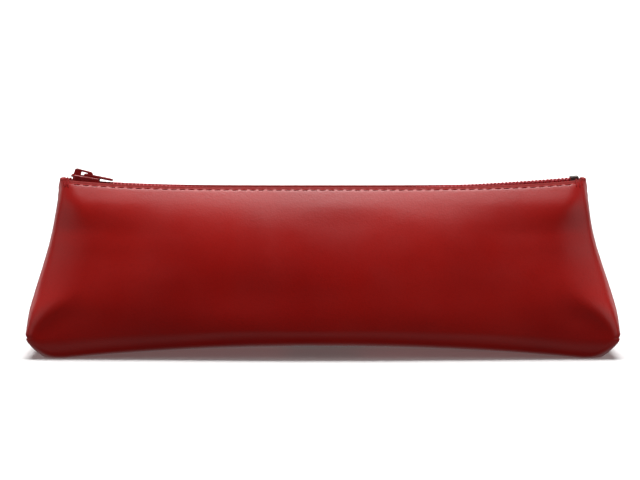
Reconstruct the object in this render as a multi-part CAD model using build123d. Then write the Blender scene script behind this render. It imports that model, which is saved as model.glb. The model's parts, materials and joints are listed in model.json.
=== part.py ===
from build123d import *
import math
import os

# A soft leather pencil case: two panels, boxed corners at the base and a coil zip along the top.
# Millimetres. +X runs along the zip, from the closed end to the open end. The front faces -Y.
# The origin is the middle of the base, on the surface that the case stands on.

# Leather pouch
LEATHER = 1.3
CORNER_HALF_LENGTH = 111.0
TOP_HALF_LENGTH = 100.0
CORNER_Z = 8.0
TOP_Z = 66.0
COLLAR_Z = 61.4
WIDEST_HALF_DEPTH = 29.5
TOP_HALF_DEPTH = 6.4
EDGE_SAG = 2.9
FOOT_LEVELS = ((0.0, 103.0, 23.0), (1.8, 106.5, 26.5))  # z, half-length, half-depth
ARCH_HALF_LENGTH = 82.0
ARCH_HEIGHT = 4.5
END_CURVE = 0.93  # below 1, the ends lean in most below the middle of their height
FACE_BULGE = 0.14  # how much less deep a face is at its ends than in its middle
CORNER_ROUND = 3.0  # radius of the upright corners at the rim
CORNER_ROUND_GAIN = 5.0  # how much larger that radius is at the widest level
BODY_LEVELS = (14.0, 22.0, 31.0, 40.0, 49.0, 56.0)
SEAM_ALLOWANCE = 5.0
SEAM_TOP_Z = 55.0
CLEAR = 20.0  # how far cutting shapes run past the pouch

# Chain: an arc that sags between its ends
CHAIN_RADIUS = 1180.0
CHAIN_LOW_X = -5.0
CHAIN_LOW_Z = 61.5
CHAIN_START_X = -90.1
CHAIN_END_X = 97.6
COIL_INNER = 0.05
COIL_OUTER = 2.55
COIL_HALF_HEIGHT = 0.9
COIL_ROUND = 0.7
CORD_RADIUS = 0.45
TAPE = 0.55
TAPE_INNER = 0.4
TAPE_OUTER = 5.05
TAPE_DROP = 7.0
TAPE_START_X = -96.8
TAPE_END_X = 96.8
TAPE_SPREAD = 1.15  # half the gap between the tapes where they pass the slider's wedge
THREAD = 0.28
STOP_X = 95.6
STOP_WALL = 0.32
STOP_BOTTOM = -0.55
STOP_LENGTH = 3.0
CLIP_LENGTH = 2.4
CLIP_WIDTH = 1.7
CLIP_HEIGHT = 1.5
CLIP_GROOVE = 0.5  # height of the slot that grips the tape's edge
CLIP_Y = 2.15
CLIP_BEFORE_SLIDER = 1.9
CLIP_ROUND = 0.35

# Slider and pull tab
SLIDER_START_X = -90.6
SLIDER_LENGTH = 10.8
SLIDER_FRONT_HALF = 4.35
SLIDER_REAR_HALF = 3.5
SLIDER_WALL = 0.75
SLIDER_TILT = 5.5
CHANNEL_PLAY = 0.6
WING = 0.9
WING_ROUND = 0.3
PLAN_ROUND = 0.6
FLANGE_BOTTOM = 0.1
WEDGE_HALF = 0.95
WEDGE_TIP_HALF = 0.5
WEDGE_TAIL_HALF = 0.15
WEDGE_X = (-4.8, -4.1, -0.6)  # its tip, its widest place and its tail, from the slider's middle
BRIDGE_HALF = 1.2
BRIDGE_SINK = 0.2  # how far its feet reach into the upper wing
BRIDGE_LINE = ((-4.7, 0), (-4.4, 2.2), (-3.9, 2.6), (1.8, 2.1), (2.5, 1.5), (2.8, 0))  # x, height
WINDOW_LINE = ((-2.0, 0), (-1.9, 1.45), (-1.6, 1.7), (0.5, 1.55), (0.8, 1.1), (0.9, 0))
PIVOT_X = -0.2
PIVOT_RADIUS = 0.42
PIVOT_RISE = 0.55  # of the pivot above the upper wing
TAB_TILT = 1.7
TAB_LENGTH = 10.6
TAB_THICKNESS = 0.7
TAB_HALF = 2.5
TAB_EYE_HALF = 1.55
TAB_EYE_LENGTH = 5.1
TAB_SHOULDER = 1.2  # of full width past the eye, before the tab narrows
TAB_TIP_SHARE = 0.82
TAB_TIP_ROUND = 1.4

# Stitching
STITCH_PITCH = 3.3
STITCH_LENGTH = 2.5
STITCH_WIDTH = 0.55
STITCH_PROUD = 0.4
STITCH_BELOW_EDGE = 1.3
STITCH_ROUND = 0.2
STITCH_END_MARGIN = 8.0
TACK_LENGTH = 1.9
TACK_WIDTH = 0.6
TACK_BELOW_EDGE = 1.6
TACK_FIRST = 2.4  # from the end of the mouth
TACK_PITCH = {-1: 1.3, 1: 2.0}  # closer where the chain is shut
TACK_LEAN = 20.0
SEAM_STITCH = 2.2
SIDE_STITCH_INSET = 3.5
BASE_SEAM_MARGIN = 18.0
CORNER_SEAM_MARGIN = 9.0
STITCH_GAP = 0.03

CHANNEL_TOP = COIL_HALF_HEIGHT + CHANNEL_PLAY
TAPE_BOTTOM = -COIL_HALF_HEIGHT - TAPE
CHANNEL_BOTTOM = TAPE_BOTTOM - CHANNEL_PLAY
PIVOT_Z = CHANNEL_TOP + WING + PIVOT_RISE
CHAIN_CENTRE_Z = CHAIN_LOW_Z + CHAIN_RADIUS


def half_length(z):
    """Half the length of the pouch at a height above the corner seams."""
    t = ((z - CORNER_Z) / (TOP_Z - CORNER_Z)) ** END_CURVE
    return CORNER_HALF_LENGTH - (CORNER_HALF_LENGTH - TOP_HALF_LENGTH) * t * t * (3 - 2 * t)


def half_depth(z):
    """Half the depth of the pouch in its middle, at a height above the corner seams."""
    t = min(1.0, (z - CORNER_Z) / (COLLAR_Z - CORNER_Z))
    return TOP_HALF_DEPTH + (WIDEST_HALF_DEPTH - TOP_HALF_DEPTH) * (1 - t * t)


def edge_z(x):
    """Height of the leather's top edge, which sags between the ends."""
    u = x / TOP_HALF_LENGTH
    return TOP_Z - EDGE_SAG * (1 - u ** 4)


def chain_angle(x):
    """Degrees round the chain's arc from its lowest point."""
    return math.degrees(math.asin((x - CHAIN_LOW_X) / CHAIN_RADIUS))


def outline(z, length, depth, inset):
    """A level outline of the pouch: two bulging faces, two short ends and four rounded corners."""
    a = length - inset
    mid = depth - inset
    share = (depth - TOP_HALF_DEPTH) / (WIDEST_HALF_DEPTH - TOP_HALF_DEPTH)
    b = depth * (1 - FACE_BULGE * share) - inset
    r = CORNER_ROUND + CORNER_ROUND_GAIN * share - inset
    x = a - r
    y = b - r
    c = r * math.sqrt(0.5)
    level = [(-x, -b), (-x - c, -y - c), (-a, -y), (-a, y), (-x - c, y + c), (-x, b)]
    left = [Vector(px, py, z) for px, py in level]
    right = [Vector(-p.X, -p.Y, z) for p in left]
    along = (1, 0, 0)
    back = (-1, 0, 0)
    return Wire([
        Spline(left[0], (0, -mid, z), right[5], tangents=(along, along)),
        ThreePointArc(right[5], right[4], right[3]),
        Line(right[3], right[2]),
        ThreePointArc(right[2], right[1], right[0]),
        Spline(right[0], (0, mid, z), left[5], tangents=(back, back)),
        ThreePointArc(left[5], left[4], left[3]),
        Line(left[3], left[2]),
        ThreePointArc(left[2], left[1], left[0]),
    ])


def pouch_form(inset, top):
    """The pouch as a solid: a foot that spreads to the corner seams, a body, and a straight collar."""
    foot = [outline(z, length, depth, inset) for z, length, depth in FOOT_LEVELS]
    widest = outline(CORNER_Z, CORNER_HALF_LENGTH, WIDEST_HALF_DEPTH, inset)
    levels = [outline(z, half_length(z), half_depth(z), inset) for z in BODY_LEVELS]
    neck = outline(COLLAR_Z, half_length(COLLAR_Z), TOP_HALF_DEPTH, inset)
    rim = outline(top, TOP_HALF_LENGTH, TOP_HALF_DEPTH, inset)
    foot = Solid.make_loft(foot + [widest], ruled=True)
    body = Solid.make_loft([widest] + levels + [neck])
    return foot + body + Solid.make_loft([neck, rim], ruled=True)


def arch(lift):
    """The space under the base between the two feet, raised by lift."""
    chord = Line((-ARCH_HALF_LENGTH, lift), (ARCH_HALF_LENGTH, lift))
    bow = ThreePointArc((ARCH_HALF_LENGTH, lift), (0, lift + ARCH_HEIGHT), (-ARCH_HALF_LENGTH, lift))
    depth = 2 * WIDEST_HALF_DEPTH
    return extrude(Plane.XZ * make_face([chord, bow]), amount=depth, both=True)


def above_edge():
    """Everything above the leather's sagging top edge."""
    flat = TOP_HALF_LENGTH
    reach = flat + CLEAR
    curve = Spline([(flat * u, edge_z(flat * u)) for u in (-1, -0.85, -0.6, 0, 0.6, 0.85, 1)])
    rest = Polyline((flat, TOP_Z), (reach, TOP_Z), (reach, TOP_Z + CLEAR), (-reach, TOP_Z + CLEAR),
                    (-reach, TOP_Z), (-flat, TOP_Z))
    return extrude(Plane.XZ * make_face([curve, rest]), amount=WIDEST_HALF_DEPTH, both=True)


def side_allowances():
    """The turned-in seam allowances up each end: the leather between the ends and a shorter core."""
    height = SEAM_TOP_Z - CORNER_Z
    length = 2 * (CORNER_HALF_LENGTH + CLEAR)
    slab = Pos(0, 0, CORNER_Z + height / 2) * Box(length, 2 * LEATHER, height)
    core = [
        outline(z, half_length(z) - SEAM_ALLOWANCE, half_depth(z), LEATHER)
        for z in (CORNER_Z,) + BODY_LEVELS + (SEAM_TOP_Z + 1,)
    ]
    return slab - Solid.make_loft(core)


def panels():
    """The front and back panels, which meet up the ends and along the middle of the base."""
    length = 2 * (CORNER_HALF_LENGTH + CLEAR)
    width = 2 * (WIDEST_HALF_DEPTH + CLEAR)
    height = TOP_Z + CLEAR
    outer = pouch_form(0.0, TOP_Z) - arch(0.0)
    floor = Pos(0, 0, LEATHER / 2) * Box(length, width, LEATHER)
    hollow = pouch_form(LEATHER, TOP_Z + 2) - floor - arch(LEATHER) - side_allowances()
    shell = outer - hollow - above_edge()
    half = Pos(0, -width / 2, height / 2) * Box(length, width, height)
    return shell & half, shell - half


def along_chain(profile, start_x, end_x):
    """Sweeps a profile, drawn at the chain's lowest point, along the chain's arc."""
    axis = Axis((CHAIN_LOW_X, 0, CHAIN_CENTRE_Z), (0, -1, 0))
    turn = chain_angle(end_x) - chain_angle(start_x)
    placed = profile.rotate(axis, chain_angle(start_x))
    return revolve(placed, axis, turn)


def chain_plane():
    """Across the chain at its lowest point: the sketch's x is +Y, and its y is +Z."""
    return Plane((CHAIN_LOW_X, 0, CHAIN_LOW_Z), x_dir=(0, 1, 0), z_dir=(1, 0, 0))


def coil(side):
    """Half of the chain, bored for its cord. side is -1 at the front and 1 at the back."""
    middle = (COIL_INNER + COIL_OUTER) / 2
    body = RectangleRounded(COIL_OUTER - COIL_INNER, 2 * COIL_HALF_HEIGHT, COIL_ROUND)
    profile = chain_plane() * Pos(side * middle, 0) * (body - Circle(CORD_RADIUS))
    return along_chain(profile, CHAIN_START_X, CHAIN_END_X)


def coil_cord(side):
    """The cord that fills the coil's bore."""
    middle = (COIL_INNER + COIL_OUTER) / 2
    profile = chain_plane() * Pos(side * middle, 0) * Circle(CORD_RADIUS)
    return along_chain(profile, CHAIN_START_X, CHAIN_END_X)


def coil_stitch(side):
    """The line of thread beside the coil, on the tape."""
    middle = side * (COIL_OUTER + THREAD)
    height = -COIL_HALF_HEIGHT + THREAD / 2
    profile = chain_plane() * Pos(middle, height) * Rectangle(1.2 * THREAD, THREAD)
    return along_chain(profile, CHAIN_START_X, CHAIN_END_X)


def zip_tape(side):
    """The tape: flat under its coil, then turned down inside the leather."""
    top = -COIL_HALF_HEIGHT
    middle = side * (TAPE_INNER + TAPE_OUTER) / 2
    flat = Pos(middle, top - TAPE / 2) * Rectangle(TAPE_OUTER - TAPE_INNER, TAPE)
    drop = Pos(side * (TAPE_OUTER - TAPE / 2), top - TAPE_DROP / 2) * Rectangle(TAPE, TAPE_DROP)
    tape = along_chain(chain_plane() * (flat + drop), TAPE_START_X, TAPE_END_X)
    reach = SLIDER_START_X + PIVOT_X - TAPE_START_X
    spread = Pos(TAPE_START_X, 0, CHAIN_LOW_Z) * Box(2 * reach, 2 * TAPE_SPREAD, CLEAR)
    return tape - spread


def on_chain(shape, x):
    """Moves a shape from the chain's lowest point to a place along it."""
    return shape.rotate(Axis((CHAIN_LOW_X, 0, CHAIN_CENTRE_Z), (0, -1, 0)), chain_angle(x))


def top_stop(side):
    """A small clip on the tape's edge beside the slider's wedge, which ends the slider's travel."""
    groove = Box(2 * CLIP_LENGTH, 1.0, CLIP_GROOVE)
    clip = Box(CLIP_LENGTH, CLIP_WIDTH, CLIP_HEIGHT) - Pos(0, -side * 0.5, -0.6) * groove
    clip = fillet(clip.edges().filter_by(Axis.X).group_by(Axis.Z)[-1], CLIP_ROUND)
    placed = Pos(CHAIN_LOW_X, side * CLIP_Y, CHAIN_LOW_Z - 0.1) * clip
    return on_chain(placed, SLIDER_START_X - CLIP_BEFORE_SLIDER)


def bottom_stop():
    """The clip that closes the chain at its open end: a channel over both coils."""
    inner = COIL_OUTER + STITCH_GAP
    roof = COIL_HALF_HEIGHT + STITCH_GAP
    height = roof + STOP_WALL - STOP_BOTTOM
    outer = Pos(0, 0, STOP_BOTTOM + height / 2) * Box(STOP_LENGTH, 2 * (inner + STOP_WALL), height)
    coils = Pos(0, 0, roof - height) * Box(2 * STOP_LENGTH, 2 * inner, 2 * height)
    clip = outer - coils
    clip = fillet(clip.edges().filter_by(Axis.X).group_by(Axis.Z)[-1], 0.25)
    return on_chain(Pos(CHAIN_LOW_X, 0, CHAIN_LOW_Z) * clip, STOP_X)


def slider_plan(half_front, half_rear, reach):
    """The slider seen from above: wide at its two throats, narrower where the closed chain leaves."""
    points = [(-reach, -half_front * 0.6), (-reach * 0.72, -half_front), (-reach * 0.15, -half_front),
              (reach * 0.3, -half_rear), (reach, -half_rear * 0.94)]
    points += [(x, -y) for x, y in reversed(points)]
    return make_face(Polyline(*points, close=True))


def slider_body():
    """Two wings joined by a wedge between the throats, side flanges and an open bridge, in one casting."""
    reach = SLIDER_LENGTH / 2
    plan = slider_plan(SLIDER_FRONT_HALF, SLIDER_REAR_HALF, reach)
    plan = fillet(plan.vertices(), PLAN_ROUND)
    upper = Pos(0, 0, CHANNEL_TOP) * extrude(plan, WING)
    lower = Pos(0, 0, CHANNEL_BOTTOM - WING) * extrude(plan, WING)
    upper = fillet(upper.edges().group_by(Axis.Z)[-1], WING_ROUND)
    inside = slider_plan(SLIDER_FRONT_HALF - SLIDER_WALL, SLIDER_REAR_HALF - SLIDER_WALL, 2 * reach)
    flange = Pos(0, 0, FLANGE_BOTTOM) * extrude(plan - inside, CHANNEL_TOP - FLANGE_BOTTOM)
    tip, widest, tail = WEDGE_X
    wedge = make_face(Polyline((tip, -WEDGE_TIP_HALF), (widest, -WEDGE_HALF), (tail, -WEDGE_TAIL_HALF),
                               (tail, WEDGE_TAIL_HALF), (widest, WEDGE_HALF), (tip, WEDGE_TIP_HALF),
                               close=True))
    post = Pos(0, 0, CHANNEL_BOTTOM) * extrude(wedge, CHANNEL_TOP - CHANNEL_BOTTOM)
    return upper + lower + flange + post + bridge()


def bridge():
    """The open arch along the slider's top that holds the pull tab."""
    base = CHANNEL_TOP + WING - BRIDGE_SINK
    side = make_face(Polyline(*BRIDGE_LINE, close=True)) - make_face(Polyline(*WINDOW_LINE, close=True))
    return extrude(Plane.XZ * Pos(0, base) * side, amount=BRIDGE_HALF, both=True)


def pull_tab():
    """A thin tab with an eye, whose bar lies under the bridge. The bar is the tab's pivot."""
    shoulder = TAB_EYE_LENGTH + TAB_SHOULDER
    tip_half = TAB_HALF * TAB_TIP_SHARE
    plate = make_face(Polyline((0, -TAB_HALF), (shoulder, -TAB_HALF), (TAB_LENGTH, -tip_half),
                               (TAB_LENGTH, tip_half), (shoulder, TAB_HALF), (0, TAB_HALF), close=True))
    plate = fillet(plate.vertices().sort_by(Axis.X)[-2:], TAB_TIP_ROUND)
    eye = Pos(TAB_EYE_LENGTH / 2, 0) * Rectangle(TAB_EYE_LENGTH, 2 * TAB_EYE_HALF)
    sheet = Pos(0, 0, -TAB_THICKNESS / 2) * extrude(plate - eye, TAB_THICKNESS)
    bar = Rot(90, 0, 0) * Cylinder(PIVOT_RADIUS, 2 * TAB_HALF)
    return sheet + bar


def on_slider(shape):
    """Moves a shape from the slider's own frame, which is centred on the chain, to its place on the chain."""
    tilted = Rot(0, SLIDER_TILT, 0) * shape
    return on_chain(Pos(CHAIN_LOW_X, 0, CHAIN_LOW_Z) * tilted, SLIDER_START_X)


def top_stitch(side):
    """A row of stitches on the outside of a panel, below its top edge."""
    reach = TOP_HALF_LENGTH - STITCH_END_MARGIN
    count = round(2 * reach / STITCH_PITCH)
    stitch = fillet(Box(STITCH_LENGTH, STITCH_PROUD, STITCH_WIDTH).edges().filter_by(Axis.Y), STITCH_ROUND)
    y = side * (TOP_HALF_DEPTH + STITCH_PROUD / 2 + STITCH_GAP)
    stitches = []
    for n in range(count + 1):
        x = -reach + n * 2 * reach / count
        stitches.append(Pos(x, y, edge_z(x) - STITCH_BELOW_EDGE) * stitch)
    return Compound(stitches)


def bar_tack(end):
    """Close stitches through both panels' rims at one end of the mouth. end is -1 or 1."""
    stitch = fillet(Box(TACK_WIDTH, STITCH_PROUD, TACK_LENGTH).edges().filter_by(Axis.Y), STITCH_ROUND)
    stitches = []
    for side in (-1, 1):
        for n in range(3):
            x = end * (TOP_HALF_LENGTH - TACK_FIRST - n * TACK_PITCH[end])
            z = edge_z(x) - TACK_BELOW_EDGE
            y = side * (TOP_HALF_DEPTH + STITCH_PROUD / 2 + STITCH_GAP)
            stitches.append(Pos(x, y, z) * Rot(0, TACK_LEAN * (n - 1), 0) * stitch)
    return Compound(stitches)


def side_seam(end):
    """The stitches through the two turned-in allowances up one end."""
    stitches = []
    count = int((SEAM_TOP_Z - CORNER_Z - 4) / STITCH_PITCH)
    for n in range(count + 1):
        z = CORNER_Z + 3 + n * STITCH_PITCH
        x = end * (half_length(z) - SIDE_STITCH_INSET)
        stitches.append(Pos(x, 0, z) * Rot(90, 0, 0) * Cylinder(THREAD, 2 * LEATHER + 0.6))
    return Compound(stitches)


def base_seam():
    """The stitches that cross the seam along the middle of the base, inside the leather."""
    reach = CORNER_HALF_LENGTH - BASE_SEAM_MARGIN
    count = round(2 * reach / STITCH_PITCH)
    stitches = []
    for n in range(count + 1):
        x = -reach + n * 2 * reach / count
        rise = ARCH_HEIGHT * max(0.0, 1 - (x / ARCH_HALF_LENGTH) ** 2)
        stitches.append(Pos(x, 0, rise + LEATHER / 2) * Rot(90, 0, 0) * Cylinder(THREAD, SEAM_STITCH))
    return Compound(stitches)


def corner_seam(end):
    """The stitches across one boxed corner, inside the leather at its widest point."""
    reach = WIDEST_HALF_DEPTH * (1 - FACE_BULGE) - CORNER_SEAM_MARGIN
    count = round(2 * reach / STITCH_PITCH)
    stitches = []
    for n in range(count + 1):
        y = -reach + n * 2 * reach / count
        x = end * (CORNER_HALF_LENGTH - LEATHER * 0.6)
        stitches.append(Pos(x, y, CORNER_Z) * Cylinder(THREAD, SEAM_STITCH))
    return Compound(stitches)


def save(name, shape):
    shape.label = name
    export_step(shape, os.path.join("parts", name + ".step"))


def main():
    os.makedirs("parts", exist_ok=True)
    front, back = panels()
    save("front_panel", front)
    save("back_panel", back)
    for word, side in (("front", -1), ("back", 1)):
        save(word + "_zip_tape", zip_tape(side))
        save(word + "_coil", coil(side))
        save(word + "_coil_cord", coil_cord(side))
        save(word + "_coil_stitch", coil_stitch(side))
        save(word + "_top_stitch", top_stitch(side))
        save(word + "_top_stop", top_stop(side))
    for word, end in (("left", -1), ("right", 1)):
        save(word + "_bar_tack", bar_tack(end))
        save(word + "_side_seam", side_seam(end))
        save(word + "_corner_seam", corner_seam(end))
    save("base_seam", base_seam())
    save("bottom_stop", bottom_stop())
    save("slider_body", on_slider(slider_body()))
    tab = Pos(PIVOT_X, 0, PIVOT_Z) * Rot(0, TAB_TILT, 0) * pull_tab()
    save("pull_tab", on_slider(tab))


main()
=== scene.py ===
import json
import math

import bmesh
import bpy
import numpy as np
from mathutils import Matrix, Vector


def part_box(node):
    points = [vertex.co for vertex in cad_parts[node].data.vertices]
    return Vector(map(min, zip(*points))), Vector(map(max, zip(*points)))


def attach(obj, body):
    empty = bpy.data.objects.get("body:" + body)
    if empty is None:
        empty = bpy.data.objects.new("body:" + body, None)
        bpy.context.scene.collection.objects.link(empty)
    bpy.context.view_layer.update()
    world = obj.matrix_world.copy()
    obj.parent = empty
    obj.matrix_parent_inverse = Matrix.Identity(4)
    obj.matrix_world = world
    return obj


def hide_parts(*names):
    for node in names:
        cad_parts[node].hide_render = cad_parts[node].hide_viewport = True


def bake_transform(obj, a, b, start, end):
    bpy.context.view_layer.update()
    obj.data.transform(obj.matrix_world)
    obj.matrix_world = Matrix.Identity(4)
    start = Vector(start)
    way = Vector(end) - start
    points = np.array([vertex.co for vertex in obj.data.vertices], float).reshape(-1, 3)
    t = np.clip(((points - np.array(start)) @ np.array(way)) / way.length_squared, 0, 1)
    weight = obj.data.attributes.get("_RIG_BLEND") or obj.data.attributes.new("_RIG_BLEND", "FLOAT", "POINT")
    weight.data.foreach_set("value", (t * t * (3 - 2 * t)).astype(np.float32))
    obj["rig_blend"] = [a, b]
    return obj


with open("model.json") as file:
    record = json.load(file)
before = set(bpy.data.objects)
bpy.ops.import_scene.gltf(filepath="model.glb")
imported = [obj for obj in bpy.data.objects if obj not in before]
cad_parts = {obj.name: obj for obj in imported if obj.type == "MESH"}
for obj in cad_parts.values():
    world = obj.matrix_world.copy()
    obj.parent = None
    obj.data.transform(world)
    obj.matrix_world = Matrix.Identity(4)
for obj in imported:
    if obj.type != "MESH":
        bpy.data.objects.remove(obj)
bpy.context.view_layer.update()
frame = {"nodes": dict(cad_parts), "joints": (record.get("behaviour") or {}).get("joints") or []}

# A soft red leather pencil case. Lengths are in millimetres until a mesh is made, and MM turns them into
# metres. The studio's lengths, at the end, are in metres.
MM = 0.001

# Camera: long lens, a little above the case, looking along +Y.
VIEW_DISTANCE = 975.0
VIEW_ELEVATION = 5.5
VIEW_TARGET_Z = 33.0
AIM_Z = 42.6
CAMERA_X = -1.1
LENS = 143.7

camera = bpy.data.objects.new("camera", bpy.data.cameras.new("camera"))
bpy.context.scene.collection.objects.link(camera)
elevation = math.radians(VIEW_ELEVATION)
camera_y = -VIEW_DISTANCE * math.cos(elevation)
camera_z = VIEW_TARGET_Z + VIEW_DISTANCE * math.sin(elevation)
camera.location = Vector((CAMERA_X, camera_y, camera_z)) * MM
aim = Vector((CAMERA_X, 0, AIM_Z)) * MM - camera.location
camera.rotation_mode = "QUATERNION"
camera.rotation_quaternion = aim.to_track_quat("-Z", "Y")
camera.data.lens = LENS
camera.data.sensor_width = 36.0
camera.data.clip_start = 0.05
camera.data.clip_end = 30.0
bpy.context.scene.camera = camera
bpy.context.scene.view_settings.view_transform = "Standard"

# ---------------------------------------------------------------- the frame
joints = {j["name"]: j for j in frame["joints"]}
panel_low, panel_high = [np.array(v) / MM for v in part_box("front_panel")]
coil_low, coil_high = [np.array(v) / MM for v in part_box("front_coil")]
tape_low, tape_high = [np.array(v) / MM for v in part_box("front_zip_tape")]
chain_centre = np.array(joints["slider_travel"]["pos_m"]) / MM
tab_pivot = np.array(joints["pull_tab_swing"]["pos_m"]) / MM

CORNER_HALF = panel_high[0]
WIDEST = -panel_low[1]
TOP_Z = panel_high[2]
COIL_HALF_HEIGHT = 0.9
CHAIN_LOW_X = chain_centre[0]
CHAIN_RADIUS = chain_centre[2] - coil_low[2] - COIL_HALF_HEIGHT
CLOSED_X = tab_pivot[0] - 0.3  # the middle of the slider at rest

# ---------------------------------------------------------------- leather shape
LEATHER = 1.3
SKIVED = 0.95  # the leather's thickness at the rim, where it is pared down
CORNER_Z = 8.0
TOP_HALF = 100.0
RIM_HALF = 5.4
END_CURVE = 0.93
FOOT_HALF = 105.2
FOOT_DEPTH = 22.5
FOOT_CURVE = 1.5
FACE_BULGE = 0.14
SHOULDER_PINCH = 0.14  # the share of its depth that the case loses at its ends, just below the mouth
EDGE_SAG = 2.9
SAG_START = 20.0
ARCH_HALF = 97.0
ARCH_HEIGHT = 4.8
ARCH_FADE = 26.0
EAR_RADIUS = 3.0
CORNER_RADIUS = 9.0
CORNER_REACH = 17.0
RIM_REACH = 6.5
FOOT_RADIUS = 6.0
SEAM_ALLOWANCE = 5.0
PAINTED_ROWS = 4  # rows of the face, at the rim, that the edge paint laps over
STITCH_BELOW = 1.05  # how far the rim's stitches lie under the rim
STITCH_PITCH = 3.3
STITCH_REACH = 94.5

# Relief of the leather, in millimetres.
LONG_WAVE = 0.18
SHORT_WAVE = 0.16
CORNER_VALLEY = 0.44  # the crease that runs up from each boxed corner
CORNER_RIDGE = 0.20
END_CREASE = 0.16
END_HOLLOW = 0.9
DENTS = (  # place along the case, height, depth, half-length and half-height
    (-34, 24, 0.32, 26, 9),
    (41, 31, 0.28, 22, 12),
    (6, 43, 0.10, 34, 9),
    (-66, 40, 0.26, 17, 10),
    (70, 46, 0.24, 15, 8),
)
CHANNEL_DEPTH = 0.07  # the line that the rim's stitches pull in
HOLE_DEPTH = 0.06  # how much deeper it is at each needle hole
PUFF = 0.015  # the leather that stands up below that line
SEAM_DEPTH = 0.75
SEAM_SHOULDER = 0.30
CORNER_DEPTH = 0.34
CORNER_SHOULDER = 0.12

# The leather and everything on a lip bends between these heights, and not at all at the mouth's two ends.
BEND_START_Z = 14.0
BEND_END_Z = 46.0
MOUTH_START_X = -98.0
MOUTH_END_X = 89.7
MOUTH_SHAPE = 1.15


def smooth(t):
    t = np.clip(t, 0.0, 1.0)
    return t * t * (3 - 2 * t)


def half_length(z):
    t = np.clip((z - CORNER_Z) / (TOP_Z - CORNER_Z), 0, 1) ** END_CURVE
    above = CORNER_HALF - (CORNER_HALF - TOP_HALF) * smooth(t)
    foot = np.clip(1 - z / CORNER_Z, 0, 1) ** FOOT_CURVE
    return above - (CORNER_HALF - FOOT_HALF) * foot


def half_depth(z):
    t = np.clip((z - CORNER_Z) / (TOP_Z - CORNER_Z), 0, 1)
    above = WIDEST - (WIDEST - RIM_HALF) * t * t
    roll = np.sqrt(np.clip(1 - np.clip(1 - z / CORNER_Z, 0, 1) ** 2, 0, 1))
    return np.where(z < CORNER_Z, FOOT_DEPTH + (WIDEST - FOOT_DEPTH) * roll, above)


def corner_radius(z):
    foot = FOOT_RADIUS + (EAR_RADIUS - FOOT_RADIUS) * smooth(z / CORNER_Z)
    middle = EAR_RADIUS + (CORNER_RADIUS - EAR_RADIUS) * smooth((z - CORNER_Z) / 17.0)
    upper = middle + (RIM_HALF - middle) * smooth((z - 38.0) / (TOP_Z - 38.0))
    return np.where(z < CORNER_Z, foot, upper)


def corner_reach(z):
    """How far along the case the rounding of a corner runs."""
    middle = EAR_RADIUS + (CORNER_REACH - EAR_RADIUS) * smooth((z - CORNER_Z) / 20.0)
    upper = middle + (RIM_REACH - middle) * smooth((z - 46.0) / (TOP_Z - 46.0))
    return np.where(z < CORNER_Z, corner_radius(z), upper)


def level_sizes(z):
    """Half-length, middle half-depth, half-depth at the ends of the face, and corner radius at a height."""
    b = half_depth(z)
    share = np.clip((b - RIM_HALF) / (WIDEST - RIM_HALF), 0, 1)
    end = b * (1 - FACE_BULGE * share)
    return half_length(z), b, end, np.minimum(corner_radius(z), end)


def pinch(x, z):
    """The share of its depth that the pouch keeps at x and z. Its ends are drawn in below the mouth."""
    height = smooth((z - 18.0) / 22.0) * (1 - smooth((z - 46.0) / 14.0))
    return 1 - SHOULDER_PINCH * height * smooth((np.abs(x) / half_length(z) - 0.45) / 0.5)


def settle(x, z):
    """The real height of a point whose nominal height is z: the mouth sags and the base arches."""
    sag = EDGE_SAG * np.clip(1 - (x / TOP_HALF) ** 4, 0, 1)
    sag = sag * np.clip((z - SAG_START) / (TOP_Z - SAG_START), 0, 1) ** 2
    arch = ARCH_HEIGHT * np.clip(1 - (x / ARCH_HALF) ** 2, 0, 1)
    return z - sag + arch * (1 - smooth(z / ARCH_FADE))


def front_point(x, z):
    """A point of the front face's plain surface at x and nominal height z, right round both ends."""
    x, z = np.broadcast_arrays(np.asarray(x, float), np.asarray(z, float))
    a, b, end, r = level_sizes(z)
    run = corner_reach(z)
    reach = a - run
    bulge = end + (b - end) * (0.5 + 0.5 * np.cos(np.pi * np.clip(np.abs(x) / reach, 0, 1)))
    past = np.clip((np.abs(x) - reach) / run, 0, 1)
    y = np.where(np.abs(x) < reach, bulge, end - r + r * np.sqrt(1 - past * past))
    return np.stack([x, -y * pinch(x, z), settle(x, z)], axis=-1)


def front_normal(x, z):
    step = 0.05
    across = front_point(x + step, z) - front_point(x - step, z)
    up = front_point(x, z + step) - front_point(x, z - step)
    n = np.cross(across, up)
    return n / np.linalg.norm(n, axis=-1, keepdims=True)


def gauss(d, width):
    return np.exp(-(d / width) ** 2)


def along_line(x, z, start, end):
    """How far along a line from start (0) to end (1) a point is, and how far it is from that line."""
    dx, dz = end[0] - start[0], end[1] - start[1]
    length = math.hypot(dx, dz)
    t = ((x - start[0]) * dx + (z - start[1]) * dz) / length ** 2
    away = ((x - start[0]) * dz - (z - start[1]) * dx) / length
    return t, away


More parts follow.
